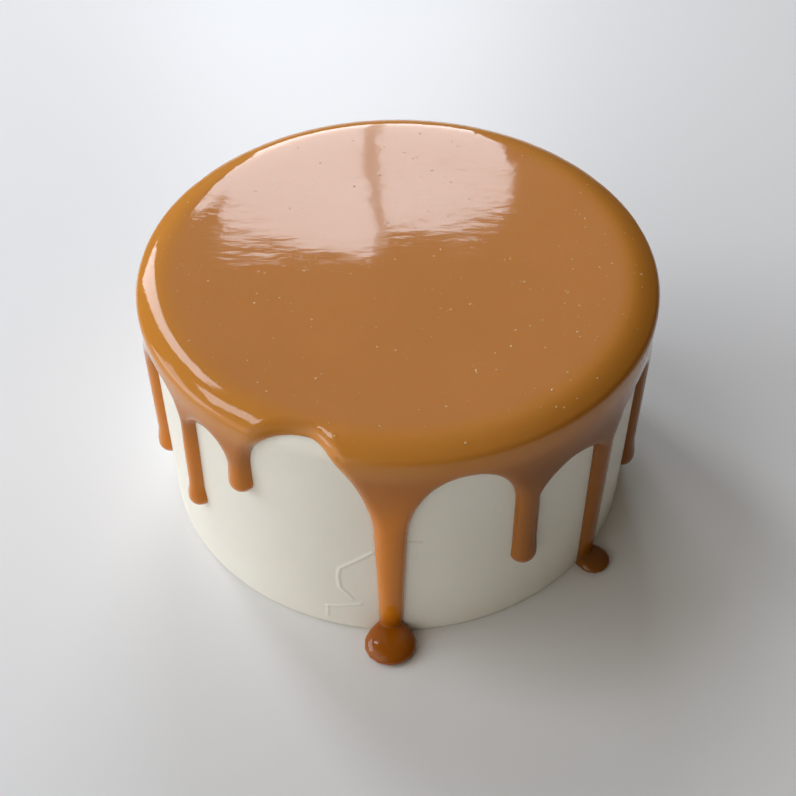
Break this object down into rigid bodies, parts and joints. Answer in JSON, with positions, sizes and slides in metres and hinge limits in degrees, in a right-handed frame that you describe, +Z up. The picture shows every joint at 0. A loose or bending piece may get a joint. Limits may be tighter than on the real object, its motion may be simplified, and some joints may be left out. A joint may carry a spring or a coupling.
{
  "type": "carrot cake",
  "caption": "Whole round frosted carrot cake under a poured caramel glaze that runs down its side in drips and pools at its foot.",
  "frame": {"origin": "centre of the cake's round flat base, on the surface that it stands on", "axes": "+Z up through the cake, -Y towards the viewer, +X to the viewer's right"},
  "size_m": [0.2221, 0.2354, 0.1168],
  "materials": {
    "frosting": "smooth spread frosting with a soft sheen, off-white",
    "caramel": "glossy set caramel, warm mid brown"
  },
  "bodies": {
    "root": {"frosted_cake": "frosting", "caramel_glaze": "caramel"}
  },
  "joints": []
}
